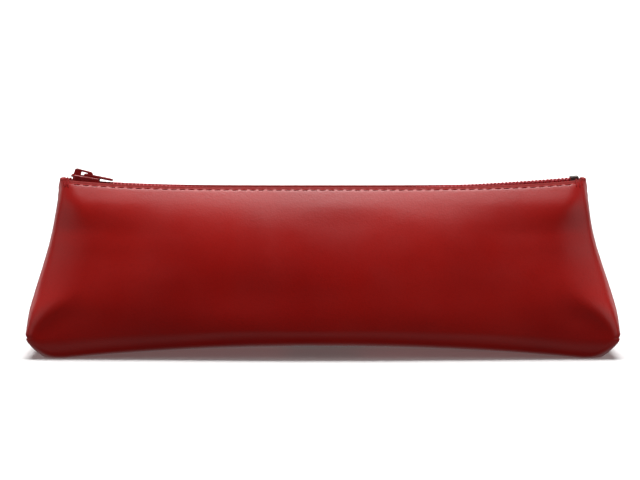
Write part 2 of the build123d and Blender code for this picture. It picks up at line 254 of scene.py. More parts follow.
def soft_relief(x, z, y, side):
    """Dents, creases and slow waves, outward in millimetres. side is -1 on the front and 1 on the back."""
    fade = smooth((z - 3) / 6) * (1 - smooth((z - 50) / 9))
    relief = LONG_WAVE * np.sin(x / 23.0 + 1.3 * side) * np.sin(z / 17.0 + 0.7 * side) * fade
    relief += SHORT_WAVE * np.sin(x / 9.7 + z / 21.0 + 2.0 * side) * np.sin(z / 11.0 - x / 37.0) * fade
    for end in (-1, 1):
        ex = end * x
        reach = 30.0 if end * side < 0 else 26.0
        tip = (108.0 - reach, 9.5 + 0.5 * reach)
        t, away = along_line(ex, z, (108.0, 9.5), tip)
        run = smooth((t + 0.10) / 0.22) * (1 - smooth((t - 0.30) / 0.70))
        relief -= CORNER_VALLEY * run * gauss(away, 3.6 + 3.0 * np.clip(t, 0, 1))
        relief += CORNER_RIDGE * run * gauss(away - 8.0, 6.0)
        t, away = along_line(ex, z, (103.0, 20.0), (97.0, 58.0))
        run = smooth(t / 0.25) * (1 - smooth((t - 0.7) / 0.3))
        relief -= END_CREASE * run * gauss(away + 2.5, 6.0)
        height = smooth((z - 10) / 12) * (1 - smooth((z - 44) / 16))
        relief -= END_HOLLOW * smooth((ex - 99.0) / 6.0) * gauss(y, 11.0) * height
    for px, pz, depth, wide, tall in DENTS:
        relief -= depth * np.exp(-((x * side + px) / wide) ** 2 - ((z - pz) / tall) ** 2)
    return relief


def stitch_count():
    return round(2 * STITCH_REACH / STITCH_PITCH)


def fine_relief(x, z, distance, side):
    """Seam grooves and the stitch channel. distance is from the end seam, along the surface."""
    pitch = 2 * STITCH_REACH / stitch_count()
    below = TOP_Z - z
    beat = np.cos(2 * np.pi * x / pitch)
    inside = smooth((STITCH_REACH + 2.4 - np.abs(x)) / 1.5)
    channel = (CHANNEL_DEPTH + HOLE_DEPTH * beat) * gauss(below - STITCH_BELOW, 0.27) * inside
    puff = (PUFF - 0.01 * beat) * gauss(below - 2.2, 0.9) * inside
    side_seam = smooth((z - CORNER_Z + 1) / 1.5)
    wave = np.cos(2 * np.pi * z / STITCH_PITCH + side)
    groove = side_seam * (SEAM_DEPTH + 0.08 * wave) * gauss(distance, 0.62)
    shoulder = side_seam * (SEAM_SHOULDER + 0.05 * wave) * gauss(distance - 2.2, 1.3)
    at_end = smooth((np.abs(x) - half_length(z) + EAR_RADIUS) / EAR_RADIUS)
    ripple = np.cos(2 * np.pi * distance / STITCH_PITCH)
    corner_groove = at_end * (CORNER_DEPTH + 0.06 * ripple) * gauss(z - CORNER_Z, 0.42)
    near = gauss(z - CORNER_Z - 1.7, 1.1) + gauss(z - CORNER_Z + 1.7, 1.1)
    corner_shoulder = at_end * (CORNER_SHOULDER + 0.04 * ripple) * near
    return puff - channel + shoulder - groove + corner_shoulder - corner_groove


def mouth_share(x):
    """How much of the lip's swing a point at x takes: none at the ends of the mouth."""
    middle = (MOUTH_START_X + MOUTH_END_X) / 2
    half = (MOUTH_END_X - MOUTH_START_X) / 2
    return np.clip(1 - ((x - middle) / half) ** 2, 0, 1) ** MOUTH_SHAPE


# ---------------------------------------------------------------- making pieces
def mesh_piece(name, points, faces, materials, which=None, weld=0.0):
    mesh = bpy.data.meshes.new(name)
    mesh.from_pydata([tuple(p) for p in np.asarray(points, float) * MM], [], [tuple(f) for f in faces])
    for material in materials:
        mesh.materials.append(material)
    if which is not None:
        mesh.polygons.foreach_set("material_index", np.asarray(which, np.int32))
    if weld:
        made = bmesh.new()
        made.from_mesh(mesh)
        bmesh.ops.remove_doubles(made, verts=made.verts, dist=weld * MM)
        bmesh.ops.dissolve_degenerate(made, edges=made.edges, dist=weld * MM * 0.5)
        made.to_mesh(mesh)
        made.free()
    mesh.polygons.foreach_set("use_smooth", np.ones(len(mesh.polygons), bool))
    mesh.update()
    piece = bpy.data.objects.new(name, mesh)
    bpy.context.scene.collection.objects.link(piece)
    return piece


def grid_faces(rows, columns, close_rows=False, close_columns=False):
    """Quads of a grid of points, numbered row by row."""
    i, j = np.meshgrid(
        np.arange(rows if close_rows else rows - 1),
        np.arange(columns if close_columns else columns - 1),
        indexing="ij",
    )
    i, j = i.ravel(), j.ravel()
    i2, j2 = (i + 1) % rows, (j + 1) % columns
    return np.stack([i * columns + j, i * columns + j2, i2 * columns + j2, i2 * columns + j], axis=1)


def tube(path, radius, sides, twist=0.0, lobes=0, lobe_depth=0.0):
    """Points and faces of a closed tube along a path. lobes and twist give it the look of plied thread."""
    path = np.asarray(path, float)
    count = len(path)
    radius = np.broadcast_to(np.asarray(radius, float), (count,))
    tangent = np.gradient(path, axis=0)
    tangent /= np.linalg.norm(tangent, axis=1, keepdims=True)
    guide = np.array([0.0, 0.0, 1.0]) if abs(tangent[0][2]) < 0.9 else np.array([0.0, 1.0, 0.0])
    normal = np.zeros_like(path)
    last = guide
    for k in range(count):
        n = last - tangent[k] * (last @ tangent[k])
        last = n / np.linalg.norm(n)
        normal[k] = last
    other = np.cross(tangent, normal)
    length = np.concatenate([[0], np.cumsum(np.linalg.norm(np.diff(path, axis=0), axis=1))])
    angle = np.arange(sides) * 2 * np.pi / sides
    around = angle[None, :]
    size = radius[:, None] * (1 + lobe_depth * np.cos(lobes * around - twist * length[:, None]))
    points = (
        path[:, None, :]
        + (size * np.cos(around))[..., None] * normal[:, None, :]
        + (size * np.sin(around))[..., None] * other[:, None, :]
    )
    faces = [list(f) for f in grid_faces(count, sides, close_columns=True)]
    faces.append(list(range(sides))[::-1])
    faces.append([(count - 1) * sides + k for k in range(sides)])
    return points.reshape(-1, 3), faces


def gather(parts):
    """One list of points and faces from several."""
    points, faces, start = [], [], 0
    for part_points, part_faces in parts:
        points.append(part_points)
        faces += [[k + start for k in f] for f in part_faces]
        start += len(part_points)
    return np.concatenate(points), faces


def bend_with_lip(piece, word):
    """piece follows the pouch low down and at the mouth's ends, and its lip in between."""
    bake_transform(piece, "pouch", word + "_lip", start=(0, 0, BEND_START_Z * MM), end=(0, 0, BEND_END_Z * MM))
    count = len(piece.data.vertices)
    at = np.zeros(count * 3)
    piece.data.vertices.foreach_get("co", at)
    share = np.zeros(count, np.float32)
    attribute = piece.data.attributes["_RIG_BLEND"]
    attribute.data.foreach_get("value", share)
    share = share * mouth_share(at.reshape(-1, 3)[:, 0] / MM)
    attribute.data.foreach_set("value", share.astype(np.float32))


# ---------------------------------------------------------------- materials
def new_material(name, colour, roughness, **values):
    material = bpy.data.materials.new(name)
    material.use_nodes = True
    shader = material.node_tree.nodes["Principled BSDF"]
    shader.inputs["Base Color"].default_value = (*colour, 1)
    shader.inputs["Roughness"].default_value = roughness
    for key, value in values.items():
        shader.inputs[key.replace("_", " ")].default_value = value
    return material, material.node_tree, shader


def link(tree, source, output, target, socket):
    tree.links.new(source.outputs[output], target.inputs[socket])


def coordinates(tree, scale=(1, 1, 1)):
    place = tree.nodes.new("ShaderNodeTexCoord")
    mapping = tree.nodes.new("ShaderNodeMapping")
    mapping.inputs["Scale"].default_value = scale
    link(tree, place, "Object", mapping, "Vector")
    return mapping


def noise(tree, at, scale, detail=3.0, roughness=0.5):
    node = tree.nodes.new("ShaderNodeTexNoise")
    node.inputs["Scale"].default_value = scale
    node.inputs["Detail"].default_value = detail
    node.inputs["Roughness"].default_value = roughness
    link(tree, at, "Vector", node, "Vector")
    return node


def ramp(tree, source, output, stops):
    node = tree.nodes.new("ShaderNodeValToRGB")
    elements = node.color_ramp.elements
    while len(elements) < len(stops):
        elements.new(0.5)
    for element, (position, colour) in zip(elements, stops):
        element.position = position
        element.color = (*colour, 1)
    link(tree, source, output, node, "Fac")
    return node


def spread_value(tree, source, output, low, high, start=0.3, end=0.7):
    node = tree.nodes.new("ShaderNodeMapRange")
    node.inputs["From Min"].default_value = start
    node.inputs["From Max"].default_value = end
    node.inputs["To Min"].default_value = low
    node.inputs["To Max"].default_value = high
    link(tree, source, output, node, "Value")
    return node


def mixed(tree, kind):
    """A colour mix. Its first colour is socket 6, its second is 7, and its result is output 2."""
    node = tree.nodes.new("ShaderNodeMix")
    node.data_type = "RGBA"
    node.blend_type = kind
    return node


def bump(tree, shader, source, output, strength, distance, under=None):
    node = tree.nodes.new("ShaderNodeBump")
    node.inputs["Strength"].default_value = strength
    node.inputs["Distance"].default_value = distance
    link(tree, source, output, node, "Height")
    if under is not None:
        link(tree, under, "Normal", node, "Normal")
    link(tree, node, "Normal", shader, "Normal")
    return node


def leather_material():
    """Smooth dyed leather: fine shallow pebble grain, pores, slow colour and gloss variation."""
    material, tree, shader = new_material("red_leather", (0.5, 0.006, 0.004), 0.38, Specular_IOR_Level=0.42)
    at = coordinates(tree)
    slow = noise(tree, at, 22.0, 3.0)
    colour = ramp(tree, slow, "Fac", ((0.30, (0.44, 0.0042, 0.0020)), (0.52, (0.50, 0.0055, 0.0025)),
                                      (0.72, (0.55, 0.0075, 0.0035))))
    grain = tree.nodes.new("ShaderNodeTexVoronoi")
    grain.feature = "F1"
    grain.inputs["Scale"].default_value = 1500.0
    link(tree, at, "Vector", grain, "Vector")
    cells = ramp(tree, grain, "Distance", ((0.0, (1.0, 1.0, 1.0)), (0.45, (0.97, 0.97, 0.97)),
                                           (0.85, (0.86, 0.84, 0.84))))
    mix = mixed(tree, "MULTIPLY")
    mix.inputs["Factor"].default_value = 0.55
    link(tree, colour, "Color", mix, 6)
    link(tree, cells, "Color", mix, 7)
    link(tree, mix, 2, shader, "Base Color")
    gloss = noise(tree, at, 70.0, 4.0)
    rough = spread_value(tree, gloss, "Fac", 0.31, 0.39)
    link(tree, rough, "Result", shader, "Roughness")
    fold = noise(tree, at, 320.0, 4.0, 0.55)
    first = bump(tree, shader, fold, "Fac", 0.16, 0.00018)
    bump(tree, shader, grain, "Distance", 0.28, 0.00006, first)
    return material


def flesh_material():
    """The unlined inside: matt fibrous leather, dyed through but paler."""
    material, tree, shader = new_material("leather_inside", (0.30, 0.03, 0.022), 0.85,
                                          Specular_IOR_Level=0.2)
    at = coordinates(tree)
    fibre = noise(tree, at, 900.0, 5.0, 0.7)
    colour = ramp(tree, fibre, "Fac", ((0.3, (0.21, 0.016, 0.012)), (0.5, (0.31, 0.03, 0.022)),
                                       (0.72, (0.42, 0.07, 0.05))))
    link(tree, colour, "Color", shader, "Base Color")
    bump(tree, shader, fibre, "Fac", 0.5, 0.00025)
    return material


def cut_edge_material():
    """Painted edge of the leather, duller than its face."""
    material, tree, shader = new_material("leather_cut_edge", (0.32, 0.024, 0.022), 0.75,
                                          Specular_IOR_Level=0.2)
    at = coordinates(tree, (1, 1, 6))
    fibre = noise(tree, at, 700.0, 4.0, 0.65)
    colour = ramp(tree, fibre, "Fac", ((0.3, (0.23, 0.014, 0.013)), (0.55, (0.34, 0.024, 0.022)),
                                       (0.75, (0.44, 0.05, 0.045))))
    link(tree, colour, "Color", shader, "Base Color")
    bump(tree, shader, fibre, "Fac", 0.4, 0.00015)
    return material


def thread_material():
    """Sewing thread, with a little fluff."""
    material, tree, shader = new_material("red_thread", (0.44, 0.008, 0.008), 0.6, Specular_IOR_Level=0.3)
    at = coordinates(tree)
    fluff = noise(tree, at, 2600.0, 3.0, 0.6)
    colour = ramp(tree, fluff, "Fac", ((0.3, (0.32, 0.004, 0.004)), (0.55, (0.46, 0.008, 0.008)),
                                       (0.75, (0.58, 0.018, 0.016))))
    link(tree, colour, "Color", shader, "Base Color")
    bump(tree, shader, fluff, "Fac", 0.35, 0.00008)
    return material


def tape_material():
    """Woven polyester tape with a fine herringbone."""
    material, tree, shader = new_material("woven_tape", (0.42, 0.012, 0.016), 0.62, Sheen_Weight=0.3)
    at = coordinates(tree)
    ribs = tree.nodes.new("ShaderNodeTexWave")
    ribs.wave_type = "BANDS"
    ribs.bands_direction = "DIAGONAL"
    ribs.inputs["Scale"].default_value = 420.0
    ribs.inputs["Distortion"].default_value = 0.6
    link(tree, at, "Vector", ribs, "Vector")
    warp = tree.nodes.new("ShaderNodeTexWave")
    warp.wave_type = "BANDS"
    warp.bands_direction = "X"
    warp.inputs["Scale"].default_value = 560.0
    link(tree, at, "Vector", warp, "Vector")
    colour = ramp(tree, ribs, "Fac", ((0.1, (0.27, 0.005, 0.008)), (0.6, (0.44, 0.012, 0.017)),
                                      (0.95, (0.52, 0.022, 0.028))))
    link(tree, colour, "Color", shader, "Base Color")
    first = bump(tree, shader, warp, "Fac", 0.35, 0.00008)
    bump(tree, shader, ribs, "Fac", 0.5, 0.00012, first)
    return material


def coil_material():
    """Dyed nylon filament, glossy and faintly uneven."""
    material, tree, shader = new_material("nylon_coil", (0.5, 0.008, 0.022), 0.3)
    at = coordinates(tree)
    streak = noise(tree, at, 700.0, 3.0)
    colour = ramp(tree, streak, "Fac", ((0.3, (0.42, 0.006, 0.016)), (0.7, (0.56, 0.012, 0.030))))
    link(tree, colour, "Color", shader, "Base Color")
    rough = spread_value(tree, streak, "Fac", 0.24, 0.38)
    link(tree, rough, "Result", shader, "Roughness")
    return material


def cord_material():
    """Soft plied cord, for the inside of the coils."""
    material, tree, shader = new_material("coil_cord", (0.45, 0.02, 0.03), 0.7, Sheen_Weight=0.2)
    at = coordinates(tree)
    fluff = noise(tree, at, 1900.0, 4.0, 0.65)
    colour = ramp(tree, fluff, "Fac", ((0.3, (0.30, 0.010, 0.016)), (0.7, (0.52, 0.030, 0.040))))
    link(tree, colour, "Color", shader, "Base Color")
    bump(tree, shader, fluff, "Fac", 0.4, 0.0001)
    return material


def enamel_material():
    """Dark red enamel on a zinc casting, with small chips where it rubs."""
    material, tree, shader = new_material("slider_enamel", (0.34, 0.007, 0.008), 0.3,
                                          Coat_Weight=0.35, Coat_Roughness=0.16)
    at = coordinates(tree)
    slow = noise(tree, at, 240.0, 3.0)
    paint = ramp(tree, slow, "Fac", ((0.3, (0.29, 0.005, 0.006)), (0.7, (0.41, 0.010, 0.010))))
    chips = noise(tree, at, 1500.0, 5.0, 0.7)
    worn = spread_value(tree, chips, "Fac", 0.0, 1.0, 0.70, 0.76)
    mix = mixed(tree, "MIX")
    link(tree, worn, "Result", mix, "Factor")
    link(tree, paint, "Color", mix, 6)
    mix.inputs[7].default_value = (0.34, 0.28, 0.26, 1)
    link(tree, mix, 2, shader, "Base Color")
    rough = spread_value(tree, slow, "Fac", 0.22, 0.36)
    link(tree, rough, "Result", shader, "Roughness")
    bump(tree, shader, chips, "Fac", 0.12, 0.00008)
    return material


def metal_material():
    """Dull brushed metal, for the stops."""
    material, tree, shader = new_material("stop_metal", (0.16, 0.14, 0.13), 0.45, Metallic=1.0)
    at = coordinates(tree, (1, 6, 6))
    brushed = noise(tree, at, 900.0, 4.0, 0.6)
    colour = ramp(tree, brushed, "Fac", ((0.3, (0.11, 0.10, 0.09)), (0.7, (0.21, 0.18, 0.17))))
    link(tree, colour, "Color", shader, "Base Color")
    rough = spread_value(tree, brushed, "Fac", 0.38, 0.55)
    link(tree, rough, "Result", shader, "Roughness")
    bump(tree, shader, brushed, "Fac", 0.15, 0.00005)
    return material


leather = leather_material()
flesh = flesh_material()
cut_edge = cut_edge_material()
thread = thread_material()
woven = tape_material()
nylon = coil_material()
corded = cord_material()
enamel = enamel_material()
metal = metal_material()

# ---------------------------------------------------------------- leather panels
SEAM_COLUMNS = (0.0, 0.22, 0.45, 0.7, 1.0, 1.35, 1.8, 2.4, 3.1)  # millimetres from the end seam
END_COLUMNS = 26
FACE_COLUMNS = 262
ALLOWANCE_COLUMNS = (1.0, 0.6, 0.25, 0.08)  # shares of the allowance's depth
RIM_ANGLES = (25, 55, 90, 125, 155)
BASE_DEPTHS = (0.04, 0.3, 0.6, 1.0, 1.6, 2.6, 4.2, 6.4, 9.0, 12.0, 15.0, 18.0, 20.5)  # from the base seam
BASE_ROWS = len(BASE_DEPTHS)
BASE_SEAM_DEPTH = 0.45
SEAM_GAP = 0.04  # from the middle of the case to the leather's outside, at the seams
FACE, INSIDE, EDGE = range(3)  # places of the panel's materials


def panel_levels():
    """Nominal heights of the panel's rows, closest together at the corner seam and at the rim."""
    roll = [CORNER_Z * (1 - math.cos(t * math.pi / 2)) for t in (0.0, 0.16, 0.32, 0.46, 0.58, 0.69, 0.78)]
    seam = [6.0, 6.5, 6.9, 7.2, 7.45, 7.7, 7.85, 8.0, 8.15, 8.3, 8.55, 8.85, 9.2, 9.7, 10.3, 11.1]
    face = list(np.arange(12.2, 57.5, 1.25))
    upper = list(np.arange(58.0, 62.4, 0.55))
    rim = list(np.linspace(62.6, TOP_Z, 17))
    return np.array(roll + seam + face + upper + rim)


def end_distances(end, r):
    """Distances along the outline from the end seam to where the face begins, row by row."""
    total = end - r + r * math.pi / 2
    share = np.arange(END_COLUMNS) / (END_COLUMNS - 1)
    even = total[:, None] * share[None, :]
    fixed = np.full(END_COLUMNS, 1e3)
    fixed[: len(SEAM_COLUMNS)] = SEAM_COLUMNS
    near = np.minimum(even, fixed[None, :])
    first = len(SEAM_COLUMNS) - 1
    rest = (np.arange(END_COLUMNS) - first) / (END_COLUMNS - 1 - first)
    start = near[:, first][:, None]
    return np.where(np.arange(END_COLUMNS) <= first, near, start + (total[:, None] - start) * rest[None, :])


def panel_grid():
    """x, depth, nominal height and distance from the end seam of each point of half a case, row by row."""
    levels = panel_levels()
    a, b, end, r = level_sizes(levels)
    base = np.array(BASE_DEPTHS)
    z = np.concatenate([np.zeros(BASE_ROWS), levels])
    run = np.concatenate([np.zeros(BASE_ROWS), corner_reach(levels)])
    a = np.concatenate([np.full(BASE_ROWS, a[0]), a])
    end = np.concatenate([base * (end[0] / b[0]), end])
    b = np.concatenate([base, b])
    r = np.minimum(np.concatenate([np.full(BASE_ROWS, FOOT_RADIUS), r]), end * 0.98)
    run[:BASE_ROWS] = r[:BASE_ROWS]
    run = run[:, None]

    along = end_distances(end, r)
    wall = (end - r)[:, None]
    turn = np.clip((along - wall) / r[:, None], 0, math.pi / 2)
    end_x = a[:, None] - run * (1 - np.cos(turn))
    end_y = np.where(along < wall, along, wall + r[:, None] * np.sin(turn))
    share = np.linspace(-1, 1, FACE_COLUMNS + 2)[None, 1:-1]
    face_x = share * (a[:, None] - run)
    face_y = end[:, None] + (b - end)[:, None] * (0.5 + 0.5 * np.cos(np.pi * share))
    x = np.concatenate([-end_x, face_x, end_x[:, ::-1]], axis=1)
    y = np.concatenate([end_y, face_y, end_y[:, ::-1]], axis=1)
    middle = np.full(face_x.shape, 1e3)
    distance = np.concatenate([along, middle, along[:, ::-1]], axis=1)
    z = np.broadcast_to(z[:, None], x.shape)
    return x, y * pinch(x, z), z, distance


def outward(plain):
    """The direction out of the leather at each point. It is straight down all over the base."""
    normal = np.cross(np.gradient(plain, axis=1), np.gradient(plain, axis=0))
    size = np.linalg.norm(normal, axis=2, keepdims=True)
    normal = normal / np.maximum(size, 1e-9)
    normal[:BASE_ROWS] = (0.0, 0.0, -1.0)
    return normal


def with_allowances(outer, inner, normal, z):
    """Both surfaces with the seam allowance, turned into the case, added at each end."""
    depth = SEAM_ALLOWANCE * smooth((z[:, 0] - 9) / 4) * (1 - 0.85 * smooth((z[:, 0] - 50) / 7)) + 0.5
    outer_sides, inner_sides = [], []
    for column in (0, -1):
        inward = -normal[:, column].copy()
        inward[:, 1] = 0
        inward /= np.maximum(np.linalg.norm(inward, axis=1, keepdims=True), 1e-9)
        start = outer[:, column].copy()
        start[:, 1] = -SEAM_GAP
        rows = [start + inward * (depth * t)[:, None] for t in ALLOWANCE_COLUMNS]
        backs = [p.copy() for p in rows]
        for p in backs:
            p[BASE_ROWS:, 1] = -LEATHER
            p[:BASE_ROWS, 1] = -SEAM_GAP
            p[:BASE_ROWS, 2] += LEATHER
        outer_sides.append(np.stack(rows, axis=1))
        inner_sides.append(np.stack(backs, axis=1))
    outer = np.concatenate([outer_sides[0], outer, outer_sides[1][:, ::-1]], axis=1)
    inner = np.concatenate([inner_sides[0], inner, inner_sides[1][:, ::-1]], axis=1)
    return outer, inner


def rim_rows(outer, inner):
    """The rounded edge between the tops of the two surfaces."""
    up = outer[-1] - outer[-4]
    up /= np.linalg.norm(up, axis=1, keepdims=True)
    centre = (outer[-1] + inner[-1]) / 2
    half = outer[-1] - centre
    height = np.linalg.norm(half, axis=1, keepdims=True)
    angles = [math.radians(t) for t in RIM_ANGLES]
    return np.stack([centre + half * math.cos(t) + up * height * math.sin(t) for t in angles])


def panel_faces(rows, columns, total):
    """The panel's faces, and each one's material. Rows run up the outside, over the rim and down inside."""
    faces = [list(f) for f in grid_faces(total, columns, close_rows=True)]
    past_rim = rows + len(RIM_ANGLES)
    kinds = np.full(total, INSIDE)
    kinds[:rows] = FACE
    kinds[rows - PAINTED_ROWS:past_rim] = EDGE
    for column in (0, columns - 1):
        caps = [[k, k + 1, total - 2 - k, total - 1 - k] for k in range(rows - 1)]
        caps.append(list(range(rows - 1, past_rim + 1)))
        for cap in caps:
            cap = [n * columns + column for n in cap]
            faces.append(cap if column else cap[::-1])
    return faces, np.concatenate([np.repeat(kinds, columns - 1), np.full(2 * rows, INSIDE)])


def panel(word, side):
    x, y, z, distance = panel_grid()
    plain = np.stack([x, -y, settle(x, z)], axis=-1)
    normal = outward(plain)
    slow = soft_relief(x, z, y, side)
    slow[:BASE_ROWS] = 0
    fine = fine_relief(x, z, distance, side)
    fine[:BASE_ROWS] = -BASE_SEAM_DEPTH * gauss(y[:BASE_ROWS], 0.55)
    thickness = LEATHER - (LEATHER - SKIVED) * smooth((z - 59.0) / 4.0)
    outer = plain + normal * (slow + fine)[..., None]
    inner = plain + normal * (slow - thickness)[..., None]
    inner[BASE_ROWS:, :, 1] = np.minimum(inner[BASE_ROWS:, :, 1], -LEATHER)

    outer, inner = with_allowances(outer, inner, normal, z)
    rows, columns = outer.shape[:2]
    ring = np.concatenate([outer, rim_rows(outer, inner), inner[::-1]], axis=0)
    faces, which = panel_faces(rows, columns, len(ring))
    points = ring.reshape(-1, 3).copy()
    if side > 0:
        points[:, 1] *= -1
        faces = [f[::-1] for f in faces]
    piece = mesh_piece(word + "_leather", points, faces, [leather, flesh, cut_edge], which, weld=0.004)
    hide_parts(word + "_panel")
    bend_with_lip(piece, word)


# ---------------------------------------------------------------- the zip
THREAD_PLY = {"twist": 5.2, "lobes": 2, "lobe_depth": 0.15}
COIL_THREAD_PLY = {"twist": 7.0, "lobes": 2, "lobe_depth": 0.14}
CORD_PLY = {"twist": 3.4, "lobes": 3, "lobe_depth": 0.16}
COIL_PITCH = 1.43
COIL_STEPS = 14
FILAMENT = 0.30
COIL_OUTER = 2.40
COIL_LAP = 0.30  # how far a loop reaches past the middle of the zip
CORD_PLACE = 1.25  # the core cord's place, out from the middle of the zip
CORD_RADIUS = 0.29
COIL_THREAD_PLACE = 2.82
COIL_THREAD_RADIUS = 0.16
TAPE = 0.5
TAPE_FRAY = 0.04
TAPE_RIPPLE = 0.03
SLIDER_SPREAD = 0.95  # how far the slider holds the tapes apart
TAPE_LINE = ((0.4, -1.17), (1.0, -1.17), (1.8, -1.17), (2.6, -1.17), (3.2, -1.15), (3.8, -1.1), (4.3, -1.14),
             (4.7, -1.4), (4.95, -1.85), (5.1, -2.5), (5.35, -3.4), (5.8, -4.4), (6.4, -5.5), (7.0, -6.7),
             (7.5, -7.9))


def chain_point(along, y, height):
    """A point beside the chain. along is the distance on the chain's arc from its lowest point."""
    along, y, height = np.broadcast_arrays(*[np.asarray(v, float) for v in (along, y, height)])
    turn = along / CHAIN_RADIUS
    r = CHAIN_RADIUS - height
    return np.stack([CHAIN_LOW_X + r * np.sin(turn), y, chain_centre[2] - r * np.cos(turn)], axis=-1)


def arc_at(x):
    return CHAIN_RADIUS * math.asin((x - CHAIN_LOW_X) / CHAIN_RADIUS)


def coil_piece(word, side):
    start, end = arc_at(coil_low[0]) + 0.5, arc_at(coil_high[0]) - 0.5
    turns = (end - start) / COIL_PITCH
    count = int(turns * COIL_STEPS)
    angle = np.linspace(0, turns * 2 * np.pi, count)
    phase = 0.0 if side < 0 else math.pi
    along = start + angle / (2 * np.pi) * COIL_PITCH
    inner, outer = -COIL_LAP, COIL_OUTER - FILAMENT
    middle, reach = (inner + outer) / 2, (outer - inner) / 2
    swing = np.cos(angle + phase)
    across = middle + reach * np.sign(swing) * np.abs(swing) ** 0.8
    rise = (COIL_HALF_HEIGHT - FILAMENT) * np.sin(angle + phase)
    head = FILAMENT * (1 + 0.22 * np.clip(-swing, 0, 1) ** 4)
    points, faces = tube(chain_point(along, side * across, rise), head, 8)
    piece = mesh_piece(word + "_coil_loops", points, faces, [nylon])
    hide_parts(word + "_coil")
    bend_with_lip(piece, word)


def cord_piece(word, side):
    along = np.linspace(arc_at(coil_low[0]) + 0.2, arc_at(coil_high[0]) - 0.2, 420)
    points, faces = tube(chain_point(along, side * CORD_PLACE, 0.0), CORD_RADIUS, 9, **CORD_PLY)
    piece = mesh_piece(word + "_core_cord", points, faces, [corded])
    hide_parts(word + "_coil_cord")
    bend_with_lip(piece, word)


def coil_thread_piece(word, side):
    start, end = arc_at(coil_low[0]) + 0.8, arc_at(coil_high[0]) - 0.8
    count = int((end - start) / (2 * COIL_PITCH))
    parts = []
    t = np.linspace(-1, 1, 9)
    across = side * (COIL_THREAD_PLACE + 0.05 * t)
    height = -COIL_HALF_HEIGHT + 0.06 + 0.16 * (1 - t ** 4)
    radius = COIL_THREAD_RADIUS * (1.05 - 0.3 * t ** 6)
    for n in range(count):
        along = start + (n + 0.5) * 2 * COIL_PITCH + t * (COIL_PITCH * 0.94)
        parts.append(tube(chain_point(along, across, height), radius, 7, **COIL_THREAD_PLY))
    points, faces = gather(parts)
    piece = mesh_piece(word + "_coil_thread", points, faces, [thread])
    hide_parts(word + "_coil_stitch")
    bend_with_lip(piece, word)


def tape_piece(word, side):
    line = np.array(TAPE_LINE)
    tangent = np.gradient(line, axis=0)
    tangent /= np.linalg.norm(tangent, axis=1, keepdims=True)
    normal = np.stack([-tangent[:, 1], tangent[:, 0]], axis=1)
    along = np.linspace(arc_at(tape_low[0]), arc_at(tape_high[0]), 232)
    x = CHAIN_LOW_X + along
    spread = SLIDER_SPREAD * smooth((CLOSED_X - 0.1 - x) / 1.3)
    share = np.clip(1 - (line[:, 0] - line[0, 0]) / 3.4, 0, 1)
    fray = TAPE_FRAY * np.sin(x * 4.1) * share[0]
    sheets = []
    for lift in (TAPE / 2, -TAPE / 2):
        across = line[None, :, 0] + normal[None, :, 0] * lift + spread[:, None] * share[None, :]
        across[:, 0] += fray
        height = line[None, :, 1] + normal[None, :, 1] * lift
        height = height + TAPE_RIPPLE * np.sin(x[:, None] * 1.9 + line[None, :, 0])
        sheets.append(chain_point(along[:, None], side * across, height))
    ring = np.concatenate([sheets[0], sheets[1][:, ::-1]], axis=1)
    rows, columns = ring.shape[:2]
    faces = [list(f) for f in grid_faces(rows, columns, close_columns=True)]
    faces.append(list(range(columns))[::-1])
    faces.append([(rows - 1) * columns + k for k in range(columns)])
    if side < 0:
        faces = [f[::-1] for f in faces]
    piece = mesh_piece(word + "_tape", ring.reshape(-1, 3), faces, [woven])
    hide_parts(word + "_zip_tape")
    bend_with_lip(piece, word)


# ---------------------------------------------------------------- sewing
THREAD_RADIUS = 0.21
STITCH_SHARE = 0.80  # how much of the pitch a stitch covers
TACK_START = 98.3  # the outermost tacking stitch, from the middle of the case
LEFT_TACK = (0.52, 5)  # gap between stitches and how many
RIGHT_TACK = (1.2, 3)
TACK_REACH = 2.3  # how far the shortest tacking stitch comes down the face


def mirrored(points, side):
    """The points themselves on the front, or their mirror image on the back."""
    points = points.copy()
    if side > 0:
        points[:, 1] *= -1
    return points


def sewn(x, level, height):
    """Points on the front face at x and nominal height level, lifted off its plain surface."""
    return front_point(x, level) + front_normal(x, level) * np.asarray(height)[:, None]


def top_stitch_piece(word, side):
    count = stitch_count()
    pitch = 2 * STITCH_REACH / count
    t = np.linspace(-1, 1, 13)
    lean = 0.09 * t
    height = -0.02 - 0.55 * np.abs(t) ** 7
    radius = THREAD_RADIUS * (1.0 - 0.25 * t ** 8)
    parts = []
    for n in range(count):
        x = -STITCH_REACH + (n + 0.5) * pitch + t * (pitch * STITCH_SHARE / 2)
        path = sewn(x, TOP_Z - STITCH_BELOW + lean, height)
        parts.append(tube(mirrored(path, side), radius, 10, **THREAD_PLY))
    points, faces = gather(parts)
    piece = mesh_piece(word + "_rim_stitches", points, faces, [thread])
    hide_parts(word + "_top_stitch")
    bend_with_lip(piece, word)


